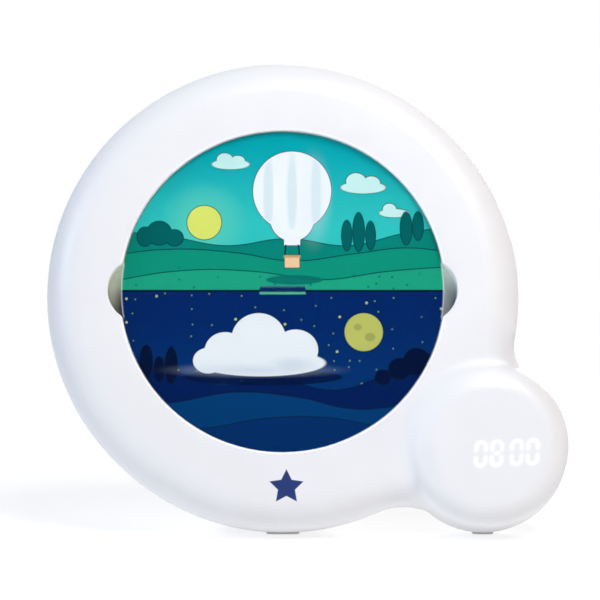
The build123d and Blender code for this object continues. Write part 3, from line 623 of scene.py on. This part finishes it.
class Painter:
    """Lays soft-edged flat shapes over one another in a material's tree."""

    def __init__(self, tree, ground):
        self.tree = tree
        self.placed = place_from(tree)
        self.colour = ground

    def lay(self, mask, colour, strength=1.0):
        if strength < 1.0:
            mask = product(self.tree, mask, strength)
        self.colour = mixed(self.tree, mask, self.colour, colour)

    def oval(self, across, up, wide, high, soft=0.35):
        away = vectors(self.tree, "SUBTRACT", self.placed["Flat"], (across, up, 0))
        shares = vectors(self.tree, "DIVIDE", away, (wide, high, 1))
        edge = soft / min(wide, high)
        return ramp_between(self.tree, length_of(self.tree, shares), 1 + edge, 1 - edge)

    def bar(self, across, up, wide, high, turn=0.0, soft=0.3):
        tree = self.tree
        aside = minus(tree, self.placed["Across"], across)
        over = minus(tree, self.placed["Up"], up)
        if turn:
            cosine = math.cos(math.radians(turn))
            sine = math.sin(math.radians(turn))
            turned = sum_of(tree, "MULTIPLY_ADD", aside, cosine, product(tree, over, sine))
            over = sum_of(tree, "MULTIPLY_ADD", over, cosine, product(tree, aside, -sine))
            aside = turned
        masks = []
        for away, size in ((aside, wide), (over, high)):
            away = sum_of(tree, "ABSOLUTE", away)
            masks.append(ramp_between(tree, away, size + soft, size - soft))
        return product(tree, *masks)

    def union(self, masks):
        return chained(self.tree, "MAXIMUM", *masks)

    def below(self, skyline, soft=0.4):
        """1 under a line through the given points, which run from left to right."""
        along = sum_of(self.tree, "ADD", self.placed["Across"], SKYLINE_HALF)
        along = sum_of(self.tree, "DIVIDE", along, SKYLINE_SPAN)
        drawn = add_node(self.tree, "ShaderNodeFloatCurve")
        fill(self.tree, drawn, Value=along)
        curve = drawn.mapping.curves[0]
        shares = [[(value + SKYLINE_HALF) / SKYLINE_SPAN for value in point] for point in skyline]
        curve.points[0].location = shares[0]
        curve.points[1].location = shares[-1]
        for share in shares[1:-1]:
            curve.points.new(*share)
        drawn.mapping.update()
        line = sum_of(self.tree, "MULTIPLY_ADD", drawn.outputs[0], SKYLINE_SPAN, -SKYLINE_HALF)
        return ramp_between(self.tree, minus(self.tree, self.placed["Up"], line), soft, -soft)

    def figure(self, shapes, colour, line=0.3):
        """Ovals laid as one flat shape with a thin dark outline."""
        for grow, tone in ((line, OUTLINE), (0.0, colour)):
            ovals = [self.oval(x, z, wide + grow, high + grow, soft=0.2) for x, z, wide, high in shapes]
            self.lay(self.union(ovals), tone)

    def hill(self, skyline, colour, line=0.35):
        """Ground up to a skyline, with a thin dark outline along it."""
        self.lay(self.below([(x, z + line) for x, z in skyline], soft=0.2), OUTLINE)
        self.lay(self.below(skyline, soft=0.2), colour)

    def fade(self, low, high):
        """0 at one height and 1 at the other."""
        return ramp_between(self.tree, self.placed["Up"], low, high)

    def scatter(self, spacing, size, share):
        """Dots strewn over the film, the given share of a loose grid of them."""
        cells = add_node(self.tree, "ShaderNodeTexVoronoi", voronoi_dimensions="2D")
        fill(self.tree, cells, Vector=self.placed["Flat"], Scale=1.0 / spacing)
        dots = ramp_between(self.tree, cells.outputs["Distance"], size / spacing, 0.6 * size / spacing)
        parts = add_node(self.tree, "ShaderNodeSeparateColor")
        feed(self.tree, parts.inputs[0], cells.outputs["Color"])
        return product(self.tree, dots, sum_of(self.tree, "LESS_THAN", parts.outputs[0], share))


film_finish, tree, shader = new_finish("printed_film")
painter = Painter(tree, shade(0, 36, 96))
print("painter ready")

# %% Night half of the film
painter.lay(painter.fade(-8, -46), shade(0, 48, 106))
painter.lay(painter.scatter(6.4, 0.46, 0.42), shade(112, 140, 84))
painter.lay(painter.scatter(11.0, 0.72, 0.22), shade(168, 180, 104))
painter.figure([(34, -17.5, 8.0, 8.0)], shade(178, 182, 96))
craters = [painter.oval(31.5, -15.4, 1.7, 1.4), painter.oval(36.6, -19.6, 2.2, 1.8)]
painter.lay(painter.union(craters), shade(152, 158, 84))
ridge = [(-70, -30), (-48, -33), (-26, -40), (-4, -37), (22, -42), (46, -35), (70, -31)]
painter.hill(ridge, shade(0, 28, 82))
night_trees = [(-57, -30, 2.6, 7.0), (-51.5, -33, 2.2, 5.2), (-46.5, -31.5, 2.5, 7.6)]
night_trees += [(49, -33, 4.6, 4.4), (56, -30, 5.4, 5.6), (42, -36.5, 3.2, 3.0), (61.5, -31, 3.4, 4.2)]
painter.figure(night_trees, shade(0, 16, 52))
painter.lay(painter.oval(-8, -36.5, 33, 3.4, soft=0.12), shade(0, 18, 58), 0.9)
cloud = [(-9, -30.5, 27, 5.6), (-24, -25.5, 8.6, 8.0), (-10, -20.5, 11.4, 11.0), (5.5, -25, 9.4, 8.6)]
cloud += [(-31, -29.5, 6.4, 5.4)]
painter.figure(cloud, shade(222, 227, 232))
cloud_shade = [painter.oval(*shape, soft=2.2) for shape in ((-12, -33.5, 20, 1.8), (4, -31.5, 8, 3.0))]
painter.lay(painter.union(cloud_shade), shade(178, 192, 208), 0.5)
ridge = [(-70, -50), (-44, -47), (-20, -43), (6, -45), (30, -50), (52, -48), (70, -45)]
painter.hill(ridge, shade(0, 56, 108))
painter.hill([(-70, -52), (-36, -58), (-8, -54), (18, -53.5), (44, -58), (70, -60)], shade(0, 44, 98))
print("night half laid,", len(tree.nodes), "nodes")

# %% Day half of the film
day = ramp_between(tree, painter.placed["Up"], -0.05, 0.05)
night_colour = painter.colour
painter.colour = shade(0, 158, 168)
painter.lay(painter.fade(64, 22), shade(46, 184, 180))
painter.lay(painter.oval(-33, 29, 14, 14, soft=6.0), shade(104, 202, 176), 0.4)
painter.figure([(-33, 29, 7.2, 7.2)], shade(208, 216, 104))
far_clouds = [(34, 44, 9.5, 2.6), (31, 46.6, 4.2, 3.6), (37.5, 46, 3.6, 2.8), (-22, 54, 8.0, 2.2)]
far_clouds += [(-24.5, 56, 3.4, 2.8), (-19, 55.4, 3.0, 2.3), (47, 33, 6.4, 1.8), (45, 34.8, 2.8, 2.3)]
painter.figure(far_clouds, shade(190, 226, 224))
painter.hill([(-70, 25), (-48, 23), (-24, 19), (2, 22), (28, 19), (50, 24), (70, 27)], shade(4, 124, 112))
day_trees = [(-52, 24.5, 5.2, 5.0), (-45.5, 22.5, 3.6, 3.4), (-58, 23, 3.2, 4.0), (27, 23.5, 2.1, 6.4)]
day_trees += [(32, 25, 2.4, 8.2), (37, 23.5, 2.0, 6.0), (52, 26.5, 2.4, 7.0), (57, 27.5, 2.2, 6.0)]
painter.figure(day_trees, shade(0, 92, 92))
ridge = [(-70, 15), (-46, 17.5), (-20, 16), (4, 12.5), (30, 15.5), (52, 18), (70, 16)]
painter.hill(ridge, shade(10, 138, 114))
painter.hill([(-70, 4), (-40, 8.5), (-12, 8), (16, 4.5), (44, 8), (70, 10)], shade(26, 154, 122))
meadow = painter.below([(-70, 11), (-20, 11), (20, 9), (70, 12)], soft=2.0)
painter.lay(product(tree, painter.scatter(5.6, 0.6, 0.5), meadow), shade(6, 112, 100))
print("day half laid,", len(tree.nodes), "nodes")

# %% Balloon over the meadow
BALLOON = shade(228, 232, 240)
MIDST = 4
painter.lay(painter.oval(5, 4.6, 12.0, 2.0, soft=0.1), shade(4, 106, 98), 0.9)
painter.lay(painter.bar(MIDST, 22.3, 3.7, 3.3, soft=0.2), OUTLINE)
painter.figure([(MIDST, 42.5, 16.5, 17.0), (MIDST, 30.5, 9.2, 9.4)], BALLOON)
painter.lay(painter.bar(MIDST, 22.5, 3.4, 3.2, soft=0.2), BALLOON)
within = painter.oval(MIDST, 42.5, 15.9, 16.4)
for offset in (-10.6, 0, 10.6):
    gore = painter.oval(MIDST + 0.95 * offset, 41.5, 2.1, 16.6, soft=0.7)
    painter.lay(product(tree, gore, within), shade(200, 216, 222), 0.8)
painter.lay(painter.oval(13, 39, 5.5, 14.5, soft=4.0), shade(206, 218, 228), 0.3)
ropes = [painter.bar(MIDST + x, 17.0, 0.3, 2.6, turn=turn, soft=0.2) for x, turn in ((-2.9, -6), (2.9, 6))]
painter.lay(painter.union(ropes), OUTLINE)
painter.lay(painter.bar(MIDST, 12.4, 3.4, 2.9, soft=0.2), OUTLINE)
painter.lay(painter.bar(MIDST, 12.4, 3.1, 2.6, soft=0.2), shade(226, 190, 150))
painter.lay(painter.bar(MIDST, 14.6, 3.5, 0.55, soft=0.2), shade(190, 150, 112))
print("balloon laid,", len(tree.nodes), "nodes")

# %% Halves together, and the light behind them
FILM_LIGHT = 0.5
FILM_INK = 0.5
LENS_STRIP_HALF = 9.6
LIGHT_HALF_WIDTH = 62.0
LIGHT_ROW = 26.0
LIGHT_HALF_HEIGHT = 40.0
LIGHT_FALL = (1.6, 0.0, 0.86, 1.04)
painter.colour = mixed(tree, day, night_colour, painter.colour)
painter.lay(painter.bar(0, 0, 70, 0.36, soft=0.2), shade(4, 14, 26))
# Painted refraction: behind the grip bar, navy above the line and green below, as its lens turns the print
# over.
painter.lay(painter.bar(0, 0.62, LENS_STRIP_HALF, 0.62, soft=0.1), shade(0, 40, 92))
painter.lay(painter.bar(0, -0.6, LENS_STRIP_HALF, 0.36, soft=0.1), shade(52, 164, 124))
across = sum_of(tree, "DIVIDE", painter.placed["Across"], LIGHT_HALF_WIDTH)
row = minus(tree, sum_of(tree, "ABSOLUTE", painter.placed["Up"]), LIGHT_ROW)
row = sum_of(tree, "DIVIDE", row, LIGHT_HALF_HEIGHT)
spread = sum_of(tree, "ADD", product(tree, across, across), product(tree, row, row))
even = ramp_between(tree, spread, *LIGHT_FALL)
lit = mixed(tree, 1.0, painter.colour, even, blend="MULTIPLY")
ink = mixed(tree, FILM_INK, DARK, painter.colour)
fill(tree, shader, Base_Color=ink, Emission_Color=lit, Emission_Strength=FILM_LIGHT)
fill(tree, shader, Roughness=0.5, Specular_IOR_Level=0.0)
print("film finish:", len(tree.nodes), "nodes")

# %% [markdown]
# ## The film itself
# The solid film touches the clear cover all over. Two faces in one place flicker when they are rendered, so
# the film is made again as a disc a few hundredths of a millimetre behind the cover. It stands for the solid.

# %% Film disc
FILM_RADIUS = 67.6
FILM_BACK = 16.10
FILM_FRONT = 16.54
FILM_SIDES = 160


def clock_disc(name, radius, back, front, sides):
    """A flat round plate on the clock, with its place in its mesh."""
    made = bmesh.new()
    turns = [2 * math.pi * step / sides for step in range(sides)]
    rims = []
    for forward in (back, front):
        rim = [on_clock(radius * math.cos(turn), radius * math.sin(turn), forward) for turn in turns]
        rims.append([made.verts.new(point) for point in rim])
    made.faces.new(rims[1])
    made.faces.new(list(reversed(rims[0])))
    for step in range(sides):
        after = (step + 1) % sides
        made.faces.new((rims[0][step], rims[0][after], rims[1][after], rims[1][step]))
    bmesh.ops.recalc_face_normals(made, faces=made.faces)
    mesh = bpy.data.meshes.new(name)
    made.to_mesh(mesh)
    made.free()
    return new_object(name, mesh)


film = clock_disc("printed_picture", FILM_RADIUS, FILM_BACK, FILM_FRONT, FILM_SIDES)
film.data.materials.append(film_finish)
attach(film, "cover")
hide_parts("picture_disc")
print("film", 2 * FILM_RADIUS, "mm across")

# %% [markdown]
# ## The clear cover
# The cover is polished clear plastic. It is real glass to the eye, so its moulded grip bar bends the picture
# behind it, but shadows pass through it: without that, the film below would lie in the dark. A painted glow
# at its edge, where the finger notches bare it, stands for light that runs in the plate.

# %% Clear cover finish
CLEAR_TINT = (0.97, 0.985, 0.98, 1)
CLEAR_INDEX = 1.46
CLEAR_HAZE = 0.03
RIM_REACH = (66.9, 67.5)
RIM_HALF = (12.0, 11.0)
PAINTED_RIM_GLOW = 0.14
clear_finish, tree, shader = new_finish("clear_plastic")
grown = grouped(tree, mould_grain, Grain=900.0, Patches=60.0)
haze = ramp_between(tree, grown["Tone"], 0.3, 0.7, 0.0, CLEAR_HAZE)
placed = place_from(tree)
rim = ramp_between(tree, length_of(tree, placed["Flat"]), *RIM_REACH)
bared = ramp_between(tree, sum_of(tree, "ABSOLUTE", placed["Up"]), *RIM_HALF)
# Painted glow along the cover's bared rim, standing for light that runs in the plate.
painted_rim_glow = mixed(tree, product(tree, rim, bared), DARK, FULL)
fill(tree, shader, Base_Color=CLEAR_TINT, Transmission_Weight=1.0, IOR=CLEAR_INDEX, Roughness=haze)
fill(tree, shader, Emission_Color=painted_rim_glow, Emission_Strength=PAINTED_RIM_GLOW)
shadow = add_node(tree, "ShaderNodeLightPath").outputs["Is Shadow Ray"]
open_to_lamps = add_node(tree, "ShaderNodeBsdfTransparent").outputs[0]
chosen = in_order(tree, add_node(tree, "ShaderNodeMixShader"), shadow, shader.outputs[0], open_to_lamps)
fill(tree, tree.nodes["Material Output"], Surface=chosen)
print("finish:", clear_finish.name)

# %% [markdown]
# ## Inner plastics, rubber and fibre
# The pieces inside are seen when the cover is pulled or the battery door tipped. They take the same moulded
# finish with their own colour, gloss and grain.

# %% Inner finishes
inner = {
    "milky_diffuser": (shade(236, 238, 236), 0.55, 0.00001),
    "white_inner": (shade(232, 232, 228), 0.60, 0.00003),
    "switch_black": (shade(34, 34, 36), 0.48, 0.00002),
    "chip_black": (shade(28, 28, 30), 0.55, 0.00003),
    "rubber_pale": (shade(222, 222, 224), 0.82, 0.00008),
    "basket_black": (shade(30, 30, 32), 0.38, 0.00001),
    "cone_fibre": (shade(40, 40, 42), 0.85, 0.00012),
    "inlet_black": (shade(30, 30, 33), 0.45, 0.00002),
}
finishes = {name: moulded(name, *values)[0] for name, values in inner.items()}
print("inner finishes:", sorted(finishes))

# %% [markdown]
# ## Marks on the back
# The keys carry small printed signs: plus, minus, a ring for setting and a sun for the light. A line and a
# ring stand by the power switch. They are prints, so they are laid in the finish with the film's painter.

# %% Key marks and switch marks
MARK = shade(92, 94, 100)
PLUS_KEY = (98.1, -64.6)
MINUS_KEY = (72.1, -64.6)
SET_KEY = (85.1, -51.6)
LIGHT_KEY = (85.1, -77.6)
SIGN_LONG = 2.1
SIGN_THIN = 0.34
SWITCH_ACROSS = 55.9
SWITCH_ON = (SWITCH_ACROSS, 30.6)
SWITCH_OFF = (SWITCH_ACROSS, 14.2)
BACK_FACE = -20.5


def round_mark(artist, place, radius):
    return artist.oval(*place, radius, radius, soft=0.1)


def hole_mark(artist, place, radius):
    return minus(artist.tree, 1.0, round_mark(artist, place, radius))


def ring_mark(artist, place, outer, inner):
    hole = hole_mark(artist, place, inner)
    return product(artist.tree, round_mark(artist, place, outer), hole)


button_finish, tree, shader, colour = moulded("button_grey", shade(206, 208, 212), 0.42)
stamp = Painter(tree, colour)
marks = [stamp.bar(*place, SIGN_LONG, SIGN_THIN, soft=0.1) for place in (PLUS_KEY, MINUS_KEY)]
marks.append(stamp.bar(*PLUS_KEY, SIGN_THIN, SIGN_LONG, soft=0.1))
marks.append(ring_mark(stamp, SET_KEY, 2.0, 1.4))
marks.append(round_mark(stamp, LIGHT_KEY, 0.95))
rays = [stamp.bar(*LIGHT_KEY, 2.3, 0.2, turn=turn, soft=0.1) for turn in (0, 45, 90, 135)]
marks.append(product(tree, stamp.union(rays), hole_mark(stamp, LIGHT_KEY, 1.4)))
stamp.lay(stamp.union(marks), MARK)
fill(tree, shader, Base_Color=stamp.colour)
finishes["button_grey"] = button_finish

stamp = Painter(shell_nodes, shell_shader.inputs["Base Color"].links[0].from_socket)
marks = [stamp.bar(*SWITCH_ON, 0.3, 1.5, soft=0.1), ring_mark(stamp, SWITCH_OFF, 1.6, 1.1)]
behind = sum_of(shell_nodes, "LESS_THAN", stamp.placed["Forward"], BACK_FACE)
stamp.lay(product(shell_nodes, stamp.union(marks), behind), MARK)
fill(shell_nodes, shell_shader, Base_Color=stamp.colour)
print("marks laid on", button_finish.name, "and", shell_finish.name)

# %% [markdown]
# ## Metals
# Plated steel is a bright metal with fine rolling lines. The lines are a noise drawn out along one axis, and
# they change how rough the metal is more than what colour it has.

# %% Metal finishes
ROLLED = (300, 4000, 4000)
LINE_TONE = 0.82


def plated(name, colour, gloss):
    made, tree, shader = new_finish(name)
    place = object_place(tree)
    drawn = fill(tree, add_node(tree, "ShaderNodeMapping"), Vector=place, Scale=ROLLED)
    lines = noise_of(tree, drawn.outputs[0], 1.0)
    toned = mixed(tree, lines, dimmed(colour, LINE_TONE), colour)
    rough = ramp_between(tree, lines, 0.3, 0.7, gloss - 0.06, gloss + 0.08)
    fill(tree, shader, Base_Color=toned, Roughness=rough, Metallic=1.0)
    return made


finishes["zinc_steel"] = plated("zinc_steel", shade(168, 170, 176), 0.30)
finishes["nickel_contact"] = plated("nickel_contact", shade(206, 202, 190), 0.24)
finishes["ferrite_plate"] = plated("ferrite_plate", shade(92, 92, 96), 0.5)
print("metals made")

# %% [markdown]
# ## Circuit boards and lamps
# A board is green lacquer over copper, and the tracks show as paler lines under it. A brick pattern with
# thin mortar makes believable tracks without drawing a circuit. The small lamps are pale resin that glows.

# %% Board and lamp finishes
LAMP_GLOW = 0.6
board_finish, tree, shader = new_finish("green_board")
place = object_place(tree)
tracks = add_node(tree, "ShaderNodeTexBrick")
fill(tree, tracks, Vector=place, Scale=160.0, Mortar_Size=0.06, Brick_Width=0.9, Row_Height=0.35)
fill(tree, tracks, Color1=shade(24, 104, 62), Color2=shade(20, 96, 56), Mortar=shade(58, 140, 84))
rough = ramp_between(tree, tracks.outputs["Fac"], 0.0, 1.0, 0.32, 0.42)
fill(tree, shader, Base_Color=tracks.outputs["Color"], Roughness=rough)
finishes["green_board"] = board_finish

led_finish, tree, shader, colour = moulded("lamp_resin", shade(240, 232, 176), 0.2)
fill(tree, shader, Emission_Color=colour, Emission_Strength=LAMP_GLOW)
finishes["lamp_resin"] = led_finish
print("board and lamp finishes made")

# %% [markdown]
# ## Cells
# A dry cell wears a printed sleeve: a plain band at its positive end, a darker one along the rest, and bare
# metal at the ends. The sleeve's border is a place along the cell, so it comes from how far across a point
# is. The middle cell lies the other way round.

# %% Cell finish
BAY_MIDDLE = 6.6
CELL_PITCH = 15.0
BAND_START = 14.0
SLEEVE_END = 25.6
cell_finish, tree, shader, colour = moulded("cell_sleeve", shade(58, 74, 92), 0.3)
placed = place_from(tree)
turned = sum_of(tree, "COMPARE", placed["Up"], BAY_MIDDLE, CELL_PITCH / 2)
toward_nub = product(tree, placed["Across"], sum_of(tree, "MULTIPLY_ADD", turned, -2.0, 1.0))
band = sum_of(tree, "GREATER_THAN", toward_nub, BAND_START)
lay_over(tree, shader, "Base Color", band, shade(206, 164, 78))
bare = sum_of(tree, "GREATER_THAN", sum_of(tree, "ABSOLUTE", placed["Across"]), SLEEVE_END)
lay_over(tree, shader, "Base Color", bare, shade(200, 200, 202))
fill(tree, shader, Metallic=bare)
finishes["cell_sleeve"] = cell_finish
print("cell finish made")

# %% Finishes onto the solids
finishes.update(white_shell=shell_finish, white_front_shell=front_finish, clear_plastic=clear_finish)
finishes["printed_film"] = film_finish
worn_by = {
    "white_front_shell": ["front_housing"],
    "white_shell": ["rear_housing", "battery_door", "support_leg"],
    "clear_plastic": ["clear_cover"],
    "printed_film": ["picture_disc"],
    "milky_diffuser": ["diffuser_disc"],
    "white_inner": ["light_box", "display_light_guide"],
    "green_board": ["day_led_board", "night_led_board", "display_board", "main_board"],
    "lamp_resin": ["day_leds", "night_leds", "display_leds"],
    "chip_black": ["board_chips"],
    "zinc_steel": ["housing_screws", "light_box_screws", "display_screws", "board_screws"],
    "switch_black": ["tactile_switches", "power_switch", "power_knob"],
    "button_grey": ["plus_button", "set_button", "minus_button", "light_button"],
    "cell_sleeve": ["batteries"],
    "nickel_contact": ["contact_plates", "contact_springs", "socket_pin"],
    "rubber_pale": ["leg_bar", "ring_foot", "pod_foot", "speaker_gasket"],
    "basket_black": ["speaker_frame"],
    "cone_fibre": ["speaker_cone"],
    "ferrite_plate": ["speaker_magnet"],
    "inlet_black": ["power_socket"],
}
worn_by["zinc_steel"] += ["door_screw", "leg_pin"]
for finish_name, names in worn_by.items():
    for name in names:
        mesh = solids[name].data
        mesh.materials.clear()
        mesh.materials.append(finishes[finish_name])
dressed = {name for names in worn_by.values() for name in names}
print("solids without a finish:", sorted(set(solids) - dressed))

# %% [markdown]
# ## Screws and ridges
# Six screws close the housing and one holds the battery door. A cross-head screw is a node tree: a shank, a
# head, and a cross cut out of it. The tree sets one on every vertex it is given, so the points say where the
# screws are and the inputs say how big. The ridges on the switch knob are a second tree, a row of small bars.

# %% Helpers: shapes in a tree
TO_THE_BACK = (-math.pi / 2 - LEAN, 0, 0)
GEOMETRY = "NodeSocketGeometry"


def geometry_tree(name, lengths):
    """An empty Geometry Nodes tree with lengths in millimetres: the tree, its inputs and its output."""
    tree = bpy.data.node_groups.new(name, "GeometryNodeTree")
    tree.interface.new_socket("Points", in_out="INPUT", socket_type=GEOMETRY)
    for label, value in lengths.items():
        tree.interface.new_socket(label, in_out="INPUT", socket_type=FLOAT).default_value = value * MM
    tree.interface.new_socket("Made", in_out="OUTPUT", socket_type=GEOMETRY)
    return tree, add_node(tree, "NodeGroupInput").outputs, add_node(tree, "NodeGroupOutput").inputs["Made"]


def moved(tree, shape, up=0.0, turn=(0, 0, 0)):
    made = add_node(tree, "GeometryNodeTransform")
    return fill(tree, made, Geometry=shape, Translation=vector_of(tree, 0, 0, up), Rotation=turn).outputs[0]


def cylinder(tree, radius, depth, sides):
    made = add_node(tree, "GeometryNodeMeshCylinder")
    return fill(tree, made, Vertices=sides, Radius=radius, Depth=depth).outputs["Mesh"]


def box(tree, *sizes):
    return fill(tree, add_node(tree, "GeometryNodeMeshCube"), Size=vector_of(tree, *sizes)).outputs["Mesh"]


def joined(tree, *shapes):
    made = add_node(tree, "GeometryNodeJoinGeometry")
    for shape in shapes:
        tree.links.new(shape, made.inputs[0])
    return made.outputs[0]


def set_on_points(tree, points, shape, finish, end):
    """One shape on every point, turned to the clock's back, made real and given its finish."""
    turned = moved(tree, shape, turn=TO_THE_BACK)
    spread = fill(tree, add_node(tree, "GeometryNodeInstanceOnPoints"), Points=points, Instance=turned)
    real = in_order(tree, add_node(tree, "GeometryNodeRealizeInstances"), spread.outputs[0])
    coated = fill(tree, add_node(tree, "GeometryNodeSetMaterial"), Geometry=real, Material=finish)
    feed(tree, end, coated.outputs[0])


print("shape helpers ready")

# %% Screw tree
HEAD_SIDES = 32
SHANK_SIDES = 20
CROSS_LONG = 1.2
CROSS_THIN = 0.3
CROSS_DEEP = 1.1
sizes = {"Head Radius": 2.8, "Head Height": 2.0, "Shank Radius": 1.4, "Shank Length": 12.0}
screw_tree, given, end = geometry_tree("cross_head_screw", sizes)
tree = screw_tree
radius = given["Head Radius"]
height = given["Head Height"]
length = given["Shank Length"]
head = moved(tree, cylinder(tree, radius, height, HEAD_SIDES), product(tree, height, 0.5))
shank = cylinder(tree, given["Shank Radius"], length, SHANK_SIDES)
shank = moved(tree, shank, product(tree, length, -0.5))
long = product(tree, radius, CROSS_LONG)
thin = product(tree, radius, CROSS_THIN)
deep = product(tree, height, CROSS_DEEP)
cross = moved(tree, joined(tree, box(tree, long, thin, deep), box(tree, thin, long, deep)), height)
cut = add_node(tree, "GeometryNodeMeshBoolean", operation="DIFFERENCE", solver="EXACT")
fill(tree, cut, Mesh_1=head, Mesh_2=cross)
screw = joined(tree, cut.outputs["Mesh"], shank)
set_on_points(tree, given["Points"], screw, finishes["zinc_steel"], end)
print("tree:", screw_tree.name, "with", len(screw_tree.nodes), "nodes")

# %% Ridge tree
sizes = {"Ridge Length": 2.4, "Ridge Width": 0.45, "Ridge Height": 0.5}
ridge_tree, given, end = geometry_tree("knob_ridge", sizes)
ridge = box(ridge_tree, given["Ridge Length"], given["Ridge Width"], given["Ridge Height"])
set_on_points(ridge_tree, given["Points"], ridge, finishes["switch_black"], end)
print("tree:", ridge_tree.name, "with", len(ridge_tree.nodes), "nodes")


# %% Pieces made with the trees
def grow_on(name, places, tree, **lengths):
    """A mesh with a tree's shape on every place, with the tree's named lengths set first."""
    points = bpy.data.meshes.new(name)
    points.from_pydata([on_clock(*place) for place in places], [], [])
    item = new_object(name, points)
    grower = item.modifiers.new("grow", "NODES")
    grower.node_group = tree
    for socket in tree.interface.items_tree:
        label = socket.name.replace(" ", "_").lower()
        if label in lengths:
            grower[socket.identifier] = lengths[label] * MM
    graph = bpy.context.evaluated_depsgraph_get()
    grown = bpy.data.meshes.new_from_object(item.evaluated_get(graph))
    item.modifiers.remove(grower)
    item.data = grown
    print(name, "has", len(grown.polygons), "faces on", len(places), "places")
    return item


SCREW_ANGLES = (52, 128, 196, 243, 309, 346)
SCREW_PLACE = 83.0
SCREW_SEAT = -4.0
DOOR_SCREW = (0, 35.3, -20.0)
KNOB_UP = 20.6
KNOB_FACE = -21.8
RIDGE_STEP = 1.2
turns = [math.radians(angle) for angle in SCREW_ANGLES]
seats = [(SCREW_PLACE * math.cos(turn), SCREW_PLACE * math.sin(turn), SCREW_SEAT) for turn in turns]
closing = grow_on("closing_screws", seats, screw_tree, head_radius=2.8, head_height=2.0, shank_length=12.0)
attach(closing, "clock")
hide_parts("housing_screws")
small = {"head_radius": 2.1, "head_height": 1.5, "shank_radius": 1.1, "shank_length": 4.2}
captive = grow_on("captive_screw", [DOOR_SCREW], screw_tree, **small)
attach(captive, "door")
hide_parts("door_screw")
rows = [(SWITCH_ACROSS, KNOB_UP + step, KNOB_FACE) for step in (-RIDGE_STEP, 0, RIDGE_STEP)]
ridges = grow_on("knob_ridges", rows, ridge_tree, ridge_height=0.5)
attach(ridges, "power_slider")
